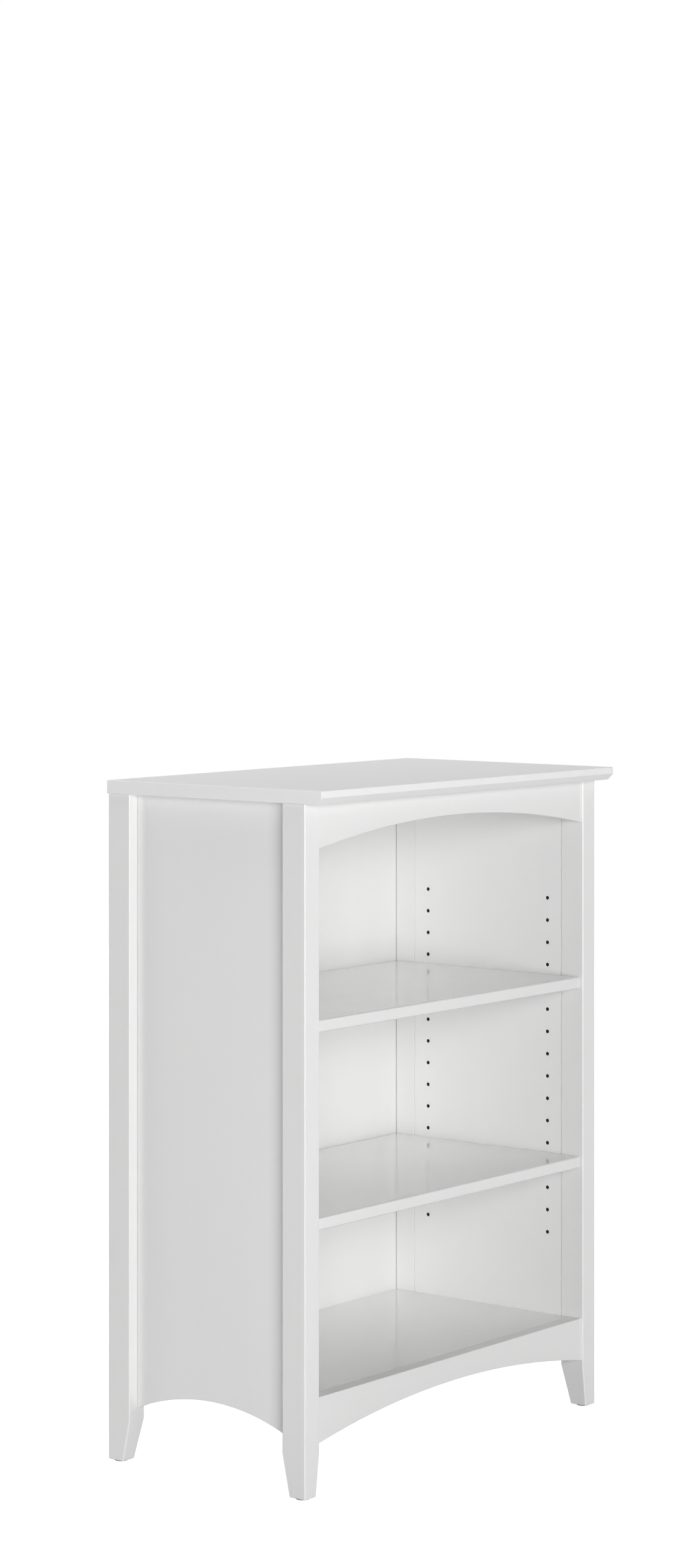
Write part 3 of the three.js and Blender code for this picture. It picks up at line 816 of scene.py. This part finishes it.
make_top()
for end_name, end in (("front", -1), ("back", 1)):
    for side_name, side in (("left", -1), ("right", 1)):
        make_post(f"post_{end_name}_{side_name}", side, end)
make_side_panel("left", -1)
make_side_panel("right", 1)
make_rail("rail_upper_front", RAIL_ARCH_RISE)
make_rail("rail_lower_front", RAIL_ARCH_RISE)
make_rail("rail_lower_back", BACK_RAIL_ARCH_RISE)
make_rail("rail_upper_back", 0)
make_bottom_shelf()
make_shelf("shelf_upper")
make_shelf("shelf_lower")
make_back_panel()
make_cleat("top_cleat_left")
make_cleat("top_cleat_right")
for name in slot_of:
    if name.startswith("pin_"):
        make_pin(name)
    elif name.startswith("glide_"):
        make_glide(name)
    elif "tenon" in name:
        make_tenon(name)
    elif "dowel" in name:
        add_piece(name, dowel_solid(name), beech_wood)
    elif "screw" in name:
        add_piece(name, screw_solid(name), zinc)


# ---------------------------------------------------------------- stage, light and camera

FLOOR_HALF = 14.0
FLOOR_GLOW = 1.8
FLOOR_GLOW_SHARE = 0.55
WORLD_STRENGTH = 0.03
LIGHT_AIM = Vector((0, 0, 0.45))
SOFTBOX_DISTANCE = 6
SOFTBOX_SIZE = 3.3

# Heading and height of each softbox in degrees, and its power in watts
SOFTBOXES = {
    "key_left": (-40, 3, 352),
    "fill_front": (5, 3, 42),
    "fill_front_right": (25, 6, 44),
    "fill_right": (90, 10, 125),
    "backdrop_right": (128, 5, 28),
    "rim_back_left": (-150, 10, 72),
    "over_back": (180, 60, 250),
}

CAMERA_PLACE = Vector((-3.802, -2.967, 1.21))
CAMERA_HEADING = math.radians(-51.714)
CAMERA_LENS = 79.9
CAMERA_SENSOR = 36
CAMERA_CLIP_END = 100
CAMERA_SHIFT_Y = -0.143


def seen_directly(tree, lit, shown, share):
    """The stage's shader: lit, mixed by share with shown where it is seen and not lighting."""
    path = tree.nodes.new("ShaderNodeLightPath")
    amount = tree.nodes.new("ShaderNodeMath")
    amount.operation = "MULTIPLY"
    amount.inputs[1].default_value = share
    tree.links.new(path.outputs["Is Camera Ray"], amount.inputs[0])
    mix = tree.nodes.new("ShaderNodeMixShader")
    tree.links.new(amount.outputs["Value"], mix.inputs[0])
    tree.links.new(lit, mix.inputs[1])
    tree.links.new(shown, mix.inputs[2])
    return mix.outputs["Shader"]


def make_floor():
    """Pale studio floor with the faintest mottling."""
    mesh = bpy.data.meshes.new("floor")
    h = FLOOR_HALF
    mesh.from_pydata([(-h, -h, 0), (h, -h, 0), (h, h, 0), (-h, h, 0)], [], [(0, 1, 2, 3)])
    floor = bpy.data.objects.new("floor", mesh)
    bpy.context.scene.collection.objects.link(floor)
    material, tree, shader = new_material("floor_paper", 0.9)
    paper = tinted(tree, noise(tree, 2.0), (0.48, 0.48, 0.48), (0.52, 0.52, 0.52))
    tree.links.new(paper, shader.inputs["Base Color"])
    shader.inputs["Specular IOR Level"].default_value = 0.1
    glow = tree.nodes.new("ShaderNodeEmission")
    glow.inputs["Strength"].default_value = FLOOR_GLOW
    tree.links.new(
        seen_directly(tree, shader.outputs["BSDF"], glow.outputs["Emission"], FLOOR_GLOW_SHARE),
        tree.nodes["Material Output"].inputs["Surface"],
    )
    mesh.materials.append(material)


def make_world():
    """Faint even light all round, seen directly as plain white."""
    world = bpy.data.worlds.new("studio")
    world.use_nodes = True
    tree = world.node_tree
    light = tree.nodes["Background"]
    light.inputs["Color"].default_value = (1, 1, 1, 1)
    light.inputs["Strength"].default_value = WORLD_STRENGTH
    white = tree.nodes.new("ShaderNodeBackground")
    white.inputs["Color"].default_value = (1, 1, 1, 1)
    tree.links.new(
        seen_directly(tree, light.outputs[0], white.outputs[0], 1.0),
        tree.nodes["World Output"].inputs["Surface"],
    )
    bpy.context.scene.world = world


def softbox(name, heading, height_angle, power):
    """Square softbox aimed at the case. heading is 0 in front of it and grows to the right."""
    data = bpy.data.lights.new(name, "AREA")
    data.shape = "SQUARE"
    data.size = SOFTBOX_SIZE
    data.energy = power
    lamp = bpy.data.objects.new(name, data)
    bpy.context.scene.collection.objects.link(lamp)
    across, up = math.radians(heading), math.radians(height_angle)
    out = Vector((math.sin(across) * math.cos(up), -math.cos(across) * math.cos(up), math.sin(up)))
    lamp.location = LIGHT_AIM + SOFTBOX_DISTANCE * out
    lamp.rotation_euler = (-out).to_track_quat("-Z", "Y").to_euler()


def make_camera():
    data = bpy.data.cameras.new("camera")
    camera = bpy.data.objects.new("camera", data)
    bpy.context.scene.collection.objects.link(camera)
    camera.location = CAMERA_PLACE
    camera.rotation_euler = (math.pi / 2, 0, CAMERA_HEADING)
    data.sensor_width = CAMERA_SENSOR
    data.lens = CAMERA_LENS
    data.shift_y = CAMERA_SHIFT_Y
    data.clip_end = CAMERA_CLIP_END
    bpy.context.scene.camera = camera


make_floor()
make_world()
bpy.context.scene.view_settings.view_transform = "Standard"
for name, setting in SOFTBOXES.items():
    softbox(name, *setting)
make_camera()
